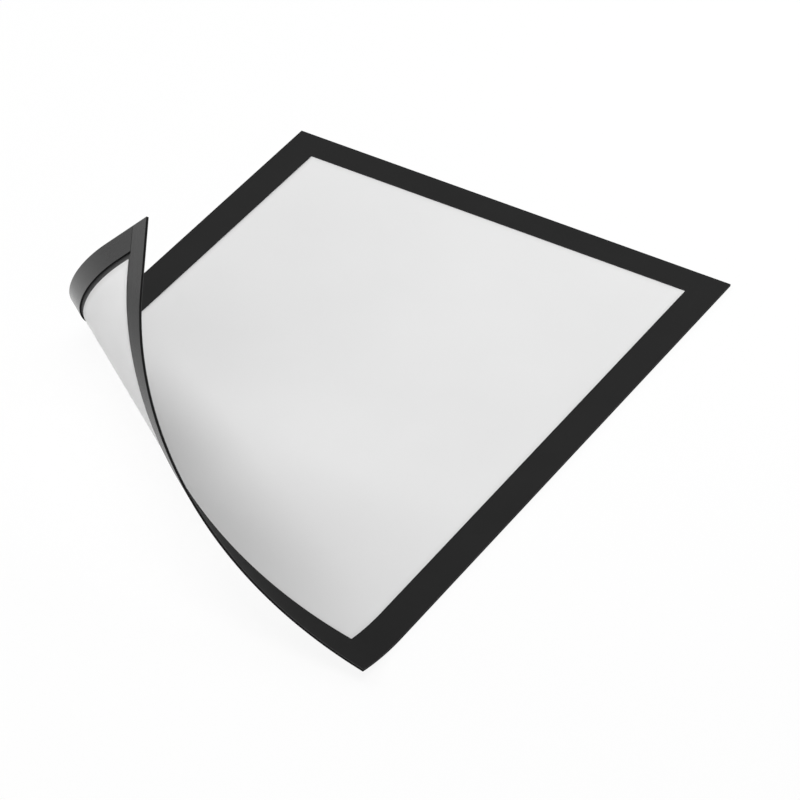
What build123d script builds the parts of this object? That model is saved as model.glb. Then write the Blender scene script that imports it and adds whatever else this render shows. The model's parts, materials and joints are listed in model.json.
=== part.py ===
from math import atan2, degrees
import os

from build123d import *

# Magnetic display frame for one sheet of paper: a black film ring with a pale pane, held to a steel
# surface by four magnet strips. One corner is peeled up and rolled over the front of the frame.
# The back of the strips is Z = 0, the front looks along +Z, and the origin is in the middle of the frame.

# Sizes of the flat frame, in millimetres
sheet_width = 210.0
sheet_height = 297.0
sheet_play = 1.0
magnet_width = 12.0
magnet_thickness = 0.9
magnet_seam = 0.2
border_lip = 3.5
border_thickness = 0.3
pane_thickness = 0.2
pane_weld = 0.8

# The rolled corner: bend lines fan out over the sheet, from its left edge to its bottom edge.
# Heights run up the left edge and reaches run along the bottom edge, both from the rolled corner.
# The first reach is given in frame widths. From each bend to the next, the steps change by a ratio.
bend_count = 12
bend_angle = 10.0
bend_start_height = 174.3
bend_end_height = 36.5
start_reach_ratio = 1.21
bend_end_reach = 34.3
left_step_ratio = 1.075
bottom_step_ratio = 0.975
bend_clearance = 0.05

# Sizes that follow
frame_width = sheet_width + 2 * (sheet_play + magnet_width)
frame_height = sheet_height + 2 * (sheet_play + magnet_width)
border_width = magnet_width + border_lip
window_width = frame_width - 2 * border_width
window_height = frame_height - 2 * border_width
side_strip_length = frame_height - 2 * (magnet_width + magnet_seam)
border_back = magnet_thickness
border_front = border_back + border_thickness
pane_back = border_back - pane_thickness
strip_x = (frame_width - magnet_width) / 2
strip_y = (frame_height - magnet_width) / 2
beyond_sheet = frame_width + frame_height
left_overrun = border_width
bend_start_reach = start_reach_ratio * frame_width


def bend_place(first, last, step_ratio, number):
    """Place of one bend along an edge, between the first and the last place of the bent zone."""
    passed = (step_ratio ** (number + 0.5) - 1) / (step_ratio**bend_count - 1)
    return first + (last - first) * passed


def bend_line(number):
    """Bend line on the flat sheet's front face: origin on the left edge, X along the line."""
    height = bend_place(bend_start_height, bend_end_height, left_step_ratio, number)
    reach = bend_place(bend_start_reach, bend_end_reach, bottom_step_ratio, number)
    slant = degrees(atan2(height, reach))
    return Pos(-frame_width / 2, height - frame_height / 2, border_front) * Rot(0, 0, -slant)


bend_lines = [bend_line(number) for number in range(bend_count)]

# Plane of each flat stretch between bend lines, the lying sheet first and the corner's tip last
stretch_planes = [Plane.XY]
for line in bend_lines:
    turn = line * Rot(-bend_angle, 0, 0) * line.inverse()
    stretch_planes.append(Plane(stretch_planes[-1].location * turn))


def line_ends(line, sideways):
    """Two points past both edges of the sheet, on a line beside the bend line."""
    before_sheet = -left_overrun - abs(sideways)
    ends = [(line * Pos(x, sideways, 0)).position for x in (before_sheet, beyond_sheet)]
    return [(end.X, end.Y) for end in ends]


def stretch_region(number):
    """One stretch of the flat sheet, clear of the bend lines on both of its sides."""
    if number == 0:
        upper = line_ends(bend_lines[0], beyond_sheet)
    else:
        upper = line_ends(bend_lines[number - 1], -bend_clearance)
    if number == bend_count:
        lower = line_ends(bend_lines[-1], -beyond_sheet)
    else:
        lower = line_ends(bend_lines[number], bend_clearance)
    with BuildSketch() as region:
        Polygon(*upper, *lower[::-1], align=None)
    return region.sketch


# Outlines of the pieces on the flat sheet
with BuildSketch() as border:
    Rectangle(frame_width, frame_height)
    Rectangle(window_width, window_height, mode=Mode.SUBTRACT)

with BuildSketch() as pane:
    Rectangle(window_width + 2 * pane_weld, window_height + 2 * pane_weld)

with BuildSketch() as magnet_top:
    with Locations((0, strip_y)):
        Rectangle(frame_width, magnet_width)

with BuildSketch() as magnet_bottom:
    with Locations((0, -strip_y)):
        Rectangle(frame_width, magnet_width)

with BuildSketch() as magnet_left:
    with Locations((-strip_x, 0)):
        Rectangle(magnet_width, side_strip_length)

with BuildSketch() as magnet_right:
    with Locations((strip_x, 0)):
        Rectangle(magnet_width, side_strip_length)

# Each piece: its outline, the height of its back face and its thickness
pieces = {
    "border": (border, border_back, border_thickness),
    "pane": (pane, pane_back, pane_thickness),
    "magnet_top": (magnet_top, 0, magnet_thickness),
    "magnet_bottom": (magnet_bottom, 0, magnet_thickness),
    "magnet_left": (magnet_left, 0, magnet_thickness),
    "magnet_right": (magnet_right, 0, magnet_thickness),
}

os.makedirs("parts", exist_ok=True)
for number, plane in enumerate(stretch_planes):
    region = stretch_region(number)
    for piece_name, (outline, back, thickness) in pieces.items():
        cut = outline.sketch & region
        if cut:
            with BuildPart() as stretch:
                with BuildSketch(plane.offset(back)):
                    add(cut)
                extrude(amount=thickness)
            stretch.part.label = piece_name if number == 0 else f"{piece_name}_bend_{number:02d}"
            export_step(stretch.part, f"parts/{stretch.part.label}.step")
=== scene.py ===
import json
from bisect import bisect_left
from math import atan2, ceil, cos, radians, sin, tan

import bmesh
import bpy
from mathutils import Matrix, Vector

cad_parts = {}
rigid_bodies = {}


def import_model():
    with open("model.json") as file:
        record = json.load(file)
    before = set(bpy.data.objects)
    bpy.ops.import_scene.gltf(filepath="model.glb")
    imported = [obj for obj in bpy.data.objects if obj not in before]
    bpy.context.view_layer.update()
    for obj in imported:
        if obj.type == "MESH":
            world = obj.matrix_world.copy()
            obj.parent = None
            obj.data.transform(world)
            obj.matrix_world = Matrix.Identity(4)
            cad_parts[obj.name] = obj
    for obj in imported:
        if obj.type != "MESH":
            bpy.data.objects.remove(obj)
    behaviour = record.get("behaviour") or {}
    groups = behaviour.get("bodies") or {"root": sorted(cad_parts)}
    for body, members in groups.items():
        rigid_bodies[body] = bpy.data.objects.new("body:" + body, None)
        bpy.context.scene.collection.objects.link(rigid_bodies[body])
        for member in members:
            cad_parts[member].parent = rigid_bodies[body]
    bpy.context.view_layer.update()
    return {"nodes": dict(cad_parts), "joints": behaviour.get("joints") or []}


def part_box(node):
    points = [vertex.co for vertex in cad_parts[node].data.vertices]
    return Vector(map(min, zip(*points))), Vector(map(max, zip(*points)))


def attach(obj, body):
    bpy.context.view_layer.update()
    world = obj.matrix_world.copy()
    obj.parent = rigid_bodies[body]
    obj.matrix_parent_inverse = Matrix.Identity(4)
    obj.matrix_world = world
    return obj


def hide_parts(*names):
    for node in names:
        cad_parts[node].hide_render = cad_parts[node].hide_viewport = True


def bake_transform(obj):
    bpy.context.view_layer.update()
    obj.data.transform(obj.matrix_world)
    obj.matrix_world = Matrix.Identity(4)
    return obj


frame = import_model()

# Sizes of the flat sheet in metres, from the CAD frame
border_low, border_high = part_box("border")
pane_low, pane_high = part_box("pane")
strip_low, strip_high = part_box("magnet_top")
_, side_strip_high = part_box("magnet_left")
half_width = border_high.x
half_height = border_high.y
front = border_high.z
strip_inner_x = side_strip_high.x
strip_seam_y = side_strip_high.y

# Sizes and steps that the frame's boxes don't show
pane_weld = 0.0008
film_bevel = 0.00005
tape_bevel = 0.00010
bevel_segments = 2

# A plate's edge is a rim if it turns by more than this angle
rim_angle = radians(45)

# A plate's face is a wall if its normal rises by less than this
wall_rise = 0.5

# Shading is smooth over edges that turn by less than this angle
smooth_angle = radians(15)

# The sheet is bent on this many lines within the zone of one joint
lines_per_zone = 24

# A point that is no farther than this from a line, in metres, lies on it
on_line = 1e-7


class Ruling:
    """A straight line across the flat sheet, given by its height on the left edge and its slant."""

    def __init__(self, left_y, slant):
        self.left_y = left_y
        self.slant = slant
        self.start = Vector((-half_width, left_y, front))
        self.along = Vector((cos(slant), -sin(slant), 0))
        self.to_corner = Vector((-sin(slant), -cos(slant), 0))

    def passed_by(self, point):
        """How far a flat point lies beyond the line, towards the rolled corner."""
        return (point - self.start).dot(self.to_corner)

    def far_end(self):
        """Where the line leaves the sheet, on its bottom or right edge."""
        reach = min(2 * half_width, (self.left_y + half_height) / tan(self.slant))
        return self.start + self.along * (reach / cos(self.slant))

    def towards(self, other, share):
        """The line at this share of the way to another one."""
        return Ruling(
            self.left_y + (other.left_y - self.left_y) * share,
            self.slant + (other.slant - self.slant) * share,
        )

    def fold(self, angle):
        """Turn about the line that lifts its corner side."""
        there = Matrix.Translation(self.start)
        return there @ Matrix.Rotation(-angle, 4, self.along) @ there.inverted()


# Bend lines of the joints, laid back onto the flat sheet
joints = frame["joints"]
bend_angle = radians(joints[0]["range_deg"][1])
bend_lines = []
rolled = Matrix.Identity(4)
for joint in joints:
    unrolled = rolled.inverted()
    place = unrolled @ Vector(joint["pos_m"])
    along = unrolled.to_3x3() @ Vector(joint["axis"])
    bend_lines.append(Ruling(place.y, atan2(-along.y, along.x)))
    rolled = rolled @ bend_lines[-1].fold(bend_angle)

# Zones of the joints: each reaches halfway to the next bend line, and is bent evenly
zone_ends = [bend_lines[0].towards(bend_lines[1], -0.5)]
zone_ends += [line.towards(after, 0.5) for line, after in zip(bend_lines, bend_lines[1:])]
zone_ends.append(bend_lines[-1].towards(bend_lines[-2], -0.5))
rulings = [zone_ends[0]]
for first, last in zip(zone_ends, zone_ends[1:]):
    rulings += [first.towards(last, step / lines_per_zone) for step in range(1, lines_per_zone + 1)]

# Where each ruling, and each strip of the sheet after it, lies in the roll
ruling_places = []
strip_places = [Matrix.Identity(4)]
for index, ruling in enumerate(rulings):
    outermost = index in (0, len(rulings) - 1)
    angle = bend_angle / lines_per_zone * (0.5 if outermost else 1)
    ruling_places.append(strip_places[-1] @ ruling.fold(angle / 2))
    strip_places.append(strip_places[-1] @ ruling.fold(angle))


def lines_passed(point):
    """Number of rulings that a flat point lies beyond."""
    return bisect_left(rulings, -on_line, key=lambda ruling: -ruling.passed_by(point))


def roll_up(point):
    """Place of a flat point on the rolled sheet."""
    passed = lines_passed(point)
    if passed < len(rulings) and abs(rulings[passed].passed_by(point)) <= on_line:
        return ruling_places[passed] @ point
    return strip_places[passed] @ point


def zone_of(point):
    """0 on the lying sheet, the joint's number in its zone, and one more on the flat tip of the corner."""
    passed = lines_passed(point)
    if passed == len(rulings):
        return len(joints) + 1
    return ceil(passed / lines_per_zone)


def blend_span(number):
    """Points between which a joint's zone would turn from the one body to the other; nothing here moves
    the zones by them.

    The span reaches a zone's width beyond each end of the zone, meant to let neighbouring zones move alike
    where they meet and lie smooth when flat. Next to the lying sheet and to the tip, which don't bend,
    it stops at the zone's end, and reaches half a width beyond the other.
    """
    joint = joints[number - 1]
    axis = Vector(joint["axis"])
    hinge = Vector(joint["pos_m"])
    before = [roll_up(point) for point in (zone_ends[number - 1].start, zone_ends[number - 1].far_end())]
    after = [roll_up(point) for point in (zone_ends[number].start, zone_ends[number].far_end())]
    across = after[0] - before[0]
    across = (across - axis * across.dot(axis)).normalized()
    starts = [(point - hinge).dot(across) for point in before]
    ends = [(point - hinge).dot(across) for point in after]
    width = (sum(ends) - sum(starts)) / 2
    if number == 1:
        span = max(starts), sum(ends) / 2 + width / 2
    elif number == len(joints):
        span = sum(starts) / 2 - width / 2, min(ends)
    else:
        span = sum(starts) / 2 - width, sum(ends) / 2 + width
    return [hinge + across * reach for reach in span]


# Flat shapes
def corners(rectangle):
    """Corner points of a rectangle, from the lower left one to the upper left one."""
    left, bottom, right, top = rectangle
    return [(left, bottom), (right, bottom), (right, top), (left, top)]


def is_rim(edge):
    """Whether an edge of a flat plate runs round its front or its back."""
    first, last = edge.verts
    return first.co.z == last.co.z and edge.calc_face_angle() > rim_angle


def flat_plate(outer, back, face, bevel, hole=None):
    """Flat plate with softened edges, and a hole in it if one is given."""
    mesh = bmesh.new()
    loops = [corners(outer)] + ([corners(hole)] if hole else [])
    levels = [[[mesh.verts.new((x, y, z)) for x, y in loop] for loop in loops] for z in (back, face)]
    for loop_back, loop_face in zip(*levels):
        for here in range(4):
            after = (here + 1) % 4
            mesh.faces.new((loop_back[here], loop_back[after], loop_face[after], loop_face[here]))
    for level in levels:
        if hole:
            for here in range(4):
                after = (here + 1) % 4
                mesh.faces.new((level[0][here], level[0][after], level[1][after], level[1][here]))
        else:
            mesh.faces.new(level[0])
    bmesh.ops.recalc_face_normals(mesh, faces=mesh.faces)
    rims = [edge for edge in mesh.edges if is_rim(edge)]
    bmesh.ops.bevel(mesh, geom=rims, offset=bevel, segments=bevel_segments, profile=0.5, affect="EDGES")
    return mesh


# Materials
uv_name = "flat_sheet"
tone_start = 0.3
tone_end = 0.7
quarter_turn = 0.25


def new_material(name, roughness, specular):
    """Material with a principled shader, and the flat sheet's own coordinates in metres."""
    material = bpy.data.materials.new(name)
    material.use_nodes = True
    nodes = material.node_tree.nodes
    shader = nodes["Principled BSDF"]
    shader.inputs["Roughness"].default_value = roughness
    shader.inputs["Specular IOR Level"].default_value = specular
    coordinates = nodes.new("ShaderNodeUVMap")
    coordinates.uv_map = uv_name
    return material, shader, coordinates


def add_noise(material, coordinates, grains, detail):
    """Noise whose grains per metre are given along the two directions of the sheet."""
    nodes = material.node_tree.nodes
    links = material.node_tree.links
    mapping = nodes.new("ShaderNodeMapping")
    mapping.inputs["Scale"].default_value = (*grains, 1)
    noise = nodes.new("ShaderNodeTexNoise")
    noise.inputs["Scale"].default_value = 1
    noise.inputs["Detail"].default_value = detail
    links.new(coordinates.outputs["UV"], mapping.inputs["Vector"])
    links.new(mapping.outputs["Vector"], noise.inputs["Vector"])
    return noise


def add_tones(material, noise, target, low, high):
    """Lets noise move a shader's input between two greys or two levels."""
    nodes = material.node_tree.nodes
    links = material.node_tree.links
    ramp = nodes.new("ShaderNodeValToRGB")
    ramp.color_ramp.elements[0].position = tone_start
    ramp.color_ramp.elements[1].position = tone_end
    ramp.color_ramp.elements[0].color = (low, low, low, 1)
    ramp.color_ramp.elements[1].color = (high, high, high, 1)
    links.new(noise.outputs["Fac"], ramp.inputs["Fac"])
    links.new(ramp.outputs["Color"], target)


def add_bump(material, noise, shader, height):
    """Lets noise roughen the surface by this height in metres."""
    nodes = material.node_tree.nodes
    links = material.node_tree.links
    bump = nodes.new("ShaderNodeBump")
    bump.inputs["Distance"].default_value = height
    links.new(noise.outputs["Fac"], bump.inputs["Height"])
    links.new(bump.outputs["Normal"], shader.inputs["Normal"])


def add_painted_edge_shade(material, coordinates, target, half_size, width, shade):
    """Paints shade into a colour towards the edge of a rectangle, darkening it down to this share of it.
    """
    nodes = material.node_tree.nodes
    links = material.node_tree.links
    split = nodes.new("ShaderNodeSeparateXYZ")
    links.new(coordinates.outputs["UV"], split.inputs["Vector"])
    nearest = nodes.new("ShaderNodeMath")
    nearest.operation = "MINIMUM"
    for index, half in enumerate(half_size):
        distance = nodes.new("ShaderNodeMath")
        distance.operation = "ABSOLUTE"
        links.new(split.outputs[index], distance.inputs[0])
        inward = nodes.new("ShaderNodeMath")
        inward.operation = "SUBTRACT"
        inward.inputs[0].default_value = half
        links.new(distance.outputs[0], inward.inputs[1])
        links.new(inward.outputs[0], nearest.inputs[index])
    fade = nodes.new("ShaderNodeMapRange")
    fade.interpolation_type = "SMOOTHSTEP"
    fade.inputs["From Max"].default_value = width
    fade.inputs["To Min"].default_value = shade
    links.new(nearest.outputs[0], fade.inputs["Value"])
    shaded = nodes.new("ShaderNodeVectorMath")
    shaded.operation = "MULTIPLY"
    links.new(target.links[0].from_socket, shaded.inputs[0])
    links.new(fade.outputs[0], shaded.inputs[1])
    links.new(shaded.outputs[0], target)


def add_brushing(material, shader, strength):
    """Makes the gloss wider across the first direction of the flat coordinates than along it."""
    nodes = material.node_tree.nodes
    links = material.node_tree.links
    tangent = nodes.new("ShaderNodeTangent")
    tangent.direction_type = "UV_MAP"
    tangent.uv_map = uv_name
    links.new(tangent.outputs["Tangent"], shader.inputs["Tangent"])
    shader.inputs["Anisotropic"].default_value = strength
    shader.inputs["Anisotropic Rotation"].default_value = quarter_turn


def border_front():
    """Matt black film with a fine sanded grain."""
    material, shader, coordinates = new_material("border_front", roughness=0.75, specular=0.08)
    grain = add_noise(material, coordinates, grains=(2500, 2500), detail=2)
    haze = add_noise(material, coordinates, grains=(30, 30), detail=3)
    add_tones(material, haze, shader.inputs["Base Color"], low=0.0085, high=0.0105)
    add_bump(material, grain, shader, height=0.00002)
    return material


def border_back():
    """Greyer, grainy back of the border film, seen as the lip beside the tape."""
    material, shader, coordinates = new_material("border_back", roughness=0.6, specular=0.15)
    grain = add_noise(material, coordinates, grains=(1800, 1800), detail=2)
    add_tones(material, grain, shader.inputs["Base Color"], low=0.019, high=0.027)
    add_bump(material, grain, shader, height=0.00002)
    return material


def film_cut_and_painted_highlight():
    """Cut edge of the border film, paler than its faces, partly as painted highlight for the light that
    the thin edge catches.
    """
    material, shader, coordinates = new_material("film_cut_and_painted_highlight", roughness=0.6, specular=0.2)
    grain = add_noise(material, coordinates, grains=(1500, 1500), detail=2)
    # Painted highlight in part: these greys are raised well above the film's black
    add_tones(material, grain, shader.inputs["Base Color"], low=0.035, high=0.055)
    return material


def pane_film():
    """Pale frosted film, slightly cloudy, and a little darker beside the border as painted shade of the
    border's shadow.
    """
    material, shader, coordinates = new_material("pane_film", roughness=0.75, specular=0.08)
    grain = add_noise(material, coordinates, grains=(1500, 1500), detail=2)
    cloud = add_noise(material, coordinates, grains=(14, 14), detail=2)
    colour = shader.inputs["Base Color"]
    add_tones(material, cloud, colour, low=0.755, high=0.775)
    # Painted shade: the colour darkens within 4 mm of the pane's edge, for the border's shadow
    add_painted_edge_shade(material, coordinates, colour, half_size=pane_high.xy, width=0.004, shade=0.88)
    add_bump(material, grain, shader, height=0.00001)
    return material


def tape_face():
    """Lacquered face of the magnetic tape, with faint streaks along its length."""
    material, shader, coordinates = new_material("tape_face", roughness=0.22, specular=0.1)
    streaks = add_noise(material, coordinates, grains=(25, 1600), detail=3)
    sheen = add_noise(material, coordinates, grains=(12, 300), detail=2)
    add_tones(material, streaks, shader.inputs["Base Color"], low=0.018, high=0.022)
    add_tones(material, sheen, shader.inputs["Roughness"], low=0.20, high=0.24)
    add_bump(material, streaks, shader, height=0.000003)
    add_brushing(material, shader, strength=0.7)
    return material


def tape_cut_and_painted_shade():
    """Raw cut wall of the magnetic tape, darker than its face, with painted shade that darkens it further
    for the shadow on the wall.
    """
    material, shader, coordinates = new_material("tape_cut_and_painted_shade", roughness=0.8, specular=0.1)
    grain = add_noise(material, coordinates, grains=(4000, 4000), detail=2)
    # Painted shade in part: these greys sit below the raw wall's own colour, for the wall's shadow
    add_tones(material, grain, shader.inputs["Base Color"], low=0.004, high=0.008)
    return material


# Looks of a part's front, back and cut walls
border_look = [border_front(), border_back(), film_cut_and_painted_highlight()]
pane_look = [pane_film()] * 3
tape_look = [tape_face()] * 2 + [tape_cut_and_painted_shade()]
front_face, back_face, wall = range(3)


def side_of(face):
    """Which of the three looks a face of the flat part has."""
    if abs(face.normal.z) < wall_rise:
        return wall
    return front_face if face.normal.z > 0 else back_face


# Pieces of the sheet, cut into zones and rolled up
def new_piece(mesh, name, looks, lengthwise_y):
    """Closes one zone's mesh, notes its flat coordinates, rolls it up and makes it an object."""
    rims = [edge for edge in mesh.edges if edge.is_boundary]
    bmesh.ops.holes_fill(mesh, edges=rims)
    bmesh.ops.recalc_face_normals(mesh, faces=mesh.faces)
    flat = mesh.loops.layers.uv.new(uv_name)
    slots = list(dict.fromkeys(looks))
    for face in mesh.faces:
        face.smooth = True
        face.material_index = slots.index(looks[side_of(face)])
        for loop in face.loops:
            x, y, _ = loop.vert.co
            loop[flat].uv = (y, x) if lengthwise_y else (x, y)
    for vertex in mesh.verts:
        vertex.co = roll_up(vertex.co)
    data = bpy.data.meshes.new(name)
    mesh.to_mesh(data)
    data.set_sharp_from_angle(angle=smooth_angle)
    for look in slots:
        data.materials.append(look)
    piece = bpy.data.objects.new(name, data)
    bpy.context.scene.collection.objects.link(piece)
    return piece


def node_name(part, stretch):
    """CAD node of a part on one flat stretch between two bend lines."""
    return part if stretch == 0 else f"{part}_bend_{stretch:02d}"


def cut_on_rulings(plate):
    """Cuts a flat plate along the rulings and notes the zone of each face."""
    for ruling in rulings:
        everything = plate.verts[:] + plate.edges[:] + plate.faces[:]
        bmesh.ops.bisect_plane(
            plate, geom=everything, dist=on_line, plane_co=ruling.start, plane_no=ruling.to_corner
        )
    zone_layer = plate.faces.layers.int.new("zone")
    for face in plate.faces:
        face[zone_layer] = zone_of(face.calc_center_median())
    return sorted({face[zone_layer] for face in plate.faces})


def zone_mesh(plate, zone):
    """Copy of a cut plate that keeps the faces of one zone."""
    mesh = plate.copy()
    zone_layer = mesh.faces.layers.int["zone"]
    others = [face for face in mesh.faces if face[zone_layer] != zone]
    bmesh.ops.delete(mesh, geom=others, context="FACES")
    return mesh


def roll_part(part, plate, looks, lengthwise_y=False):
    """Cuts a flat plate into zones, sets the lying zone and the tip on their bodies, and leaves each bent
    zone rolled up in place on no body.
    """
    bodies = [joints[0]["parent"]] + [joint["child"] for joint in joints]
    for zone in cut_on_rulings(plate):
        mesh = zone_mesh(plate, zone)
        if zone == 0:
            piece = new_piece(mesh, f"{part}_lying", looks, lengthwise_y)
            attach(piece, bodies[0])
            stretches = [0]
        elif zone > len(joints):
            piece = new_piece(mesh, f"{part}_tip", looks, lengthwise_y)
            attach(piece, bodies[-1])
            stretches = [len(joints)]
        else:
            piece = new_piece(mesh, f"{part}_roll_{zone:02d}", looks, lengthwise_y)
            blend_span(zone)
            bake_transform(piece)
            stretches = [zone - 1, zone]
        nodes = [node_name(part, stretch) for stretch in stretches]
        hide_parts(*[node for node in nodes if node in frame["nodes"]])


def centred(half_x, half_y):
    """Rectangle around the middle of the sheet."""
    return (-half_x, -half_y, half_x, half_y)


def tape(outline):
    """Plate of magnetic tape with this outline."""
    return flat_plate(outline, strip_low.z, strip_high.z, tape_bevel)


sheet = centred(half_width, half_height)
pane = centred(pane_high.x, pane_high.y)
window = centred(pane_high.x - pane_weld, pane_high.y - pane_weld)
top_strip = (-half_width, strip_low.y, half_width, half_height)
bottom_strip = (-half_width, -half_height, half_width, -strip_low.y)
left_strip = (-half_width, -strip_seam_y, strip_inner_x, strip_seam_y)
right_strip = (-strip_inner_x, -strip_seam_y, half_width, strip_seam_y)

ring_plate = flat_plate(sheet, border_low.z, border_high.z, film_bevel, hole=window)
pane_plate = flat_plate(pane, pane_low.z, pane_high.z, film_bevel)
roll_part("border", ring_plate, border_look)
roll_part("pane", pane_plate, pane_look)
roll_part("magnet_top", tape(top_strip), tape_look)
roll_part("magnet_bottom", tape(bottom_strip), tape_look)
roll_part("magnet_left", tape(left_strip), tape_look, lengthwise_y=True)
roll_part("magnet_right", tape(right_strip), tape_look, lengthwise_y=True)

# Floor and background
floor_size = 12.0
floor_drop = 0.0002
floor_grey = 0.95
floor_roughness = 0.9
floor_white_share = 0.9


def white_to_the_eye(nodes, links):
    """1 for rays that see the background straight or in a gloss, and 0 for rays that light the object."""
    path = nodes.new("ShaderNodeLightPath")
    seen = path.outputs["Is Camera Ray"]
    for other in ("Is Glossy Ray", "Is Transmission Ray"):
        either = nodes.new("ShaderNodeMath")
        either.operation = "MAXIMUM"
        links.new(seen, either.inputs[0])
        links.new(path.outputs[other], either.inputs[1])
        seen = either.outputs[0]
    return seen


def floor_paint():
    """Pale matt paint that looks nearly white and keeps a share of the object's shadow."""
    material = bpy.data.materials.new("floor_paint")
    material.use_nodes = True
    nodes = material.node_tree.nodes
    links = material.node_tree.links
    paper = nodes["Principled BSDF"]
    paper.inputs["Base Color"].default_value = (floor_grey, floor_grey, floor_grey, 1)
    paper.inputs["Roughness"].default_value = floor_roughness
    paper.inputs["Specular IOR Level"].default_value = 0
    white = nodes.new("ShaderNodeEmission")
    share = nodes.new("ShaderNodeMath")
    share.operation = "MULTIPLY"
    share.inputs[1].default_value = floor_white_share
    mixed = nodes.new("ShaderNodeMixShader")
    links.new(white_to_the_eye(nodes, links), share.inputs[0])
    links.new(share.outputs[0], mixed.inputs["Fac"])
    links.new(paper.outputs[0], mixed.inputs[1])
    links.new(white.outputs[0], mixed.inputs[2])
    links.new(mixed.outputs[0], nodes["Material Output"].inputs["Surface"])
    return material


def studio_world():
    """World that is white to the eye and adds no light of its own."""
    world = bpy.data.worlds.new("studio")
    world.use_nodes = True
    nodes = world.node_tree.nodes
    links = world.node_tree.links
    unlit = nodes["Background"]
    unlit.inputs["Strength"].default_value = 0
    backdrop = nodes.new("ShaderNodeBackground")
    backdrop.inputs["Color"].default_value = (1, 1, 1, 1)
    backdrop.inputs["Strength"].default_value = 1
    mixed = nodes.new("ShaderNodeMixShader")
    links.new(white_to_the_eye(nodes, links), mixed.inputs["Fac"])
    links.new(unlit.outputs[0], mixed.inputs[1])
    links.new(backdrop.outputs[0], mixed.inputs[2])
    links.new(mixed.outputs[0], nodes["World Output"].inputs["Surface"])
    return world


bpy.ops.mesh.primitive_plane_add(size=floor_size, location=(0, 0, -floor_drop))
floor = bpy.context.object
floor.name = "floor"
floor.data.materials.append(floor_paint())
bpy.context.scene.world = studio_world()


# Lamps and camera
def look_at(obj, target, roll=0.0):
    """Points an object's -Z axis at a target, turned by a roll about that axis."""
    turn = (Vector(target) - obj.location).to_track_quat("-Z", "Y").to_matrix()
    obj.rotation_euler = (turn @ Matrix.Rotation(roll, 3, "Z")).to_euler()


def direction(azimuth, elevation):
    """Unit vector at angles in degrees: azimuth 0 is the sheet's bottom edge and 90 its right edge."""
    level = cos(radians(elevation))
    around = radians(azimuth)
    return Vector((sin(around) * level, -cos(around) * level, sin(radians(elevation))))


def add_softbox(name, azimuth, elevation, power, distance=3.0, size=2.4, gloss_only=False):
    """Soft round lamp that faces the middle of the sheet, or a card that only a gloss shows."""
    lamp = bpy.data.lights.new(name, "AREA")
    lamp.shape = "DISK"
    lamp.size = size
    lamp.energy = power
    softbox = bpy.data.objects.new(name, lamp)
    bpy.context.scene.collection.objects.link(softbox)
    softbox.location = direction(azimuth, elevation) * distance
    softbox.visible_diffuse = not gloss_only
    look_at(softbox, (0, 0, 0))


add_softbox("top_light", azimuth=0, elevation=90, power=42)
add_softbox("left_light", azimuth=-106, elevation=32, power=66)
add_softbox("front_light", azimuth=8, elevation=33, power=28)
add_softbox("back_light", azimuth=150, elevation=40, power=0.7, distance=0.6, size=0.4)
add_softbox("left_card", azimuth=-84, elevation=10, power=1.5, distance=1.0, size=0.5, gloss_only=True)

# Camera at the photograph's angle: an aim point on the floor, azimuth, elevation, distance and roll
camera_aim = Vector((0.0323, 0.0079, 0.0))
camera_azimuth = 31.387
camera_elevation = 38.215
camera_distance = 2.0681
camera_roll = radians(0.261)
camera_lens = 207.12
camera_sensor = 36

camera_data = bpy.data.cameras.new("camera")
camera_data.lens = camera_lens
camera_data.sensor_width = camera_sensor
camera = bpy.data.objects.new("camera", camera_data)
bpy.context.scene.collection.objects.link(camera)
camera.location = camera_aim + direction(camera_azimuth, camera_elevation) * camera_distance
look_at(camera, camera_aim, camera_roll)
bpy.context.scene.camera = camera
bpy.context.scene.view_settings.view_transform = "Standard"

bpy.context.view_layer.update()
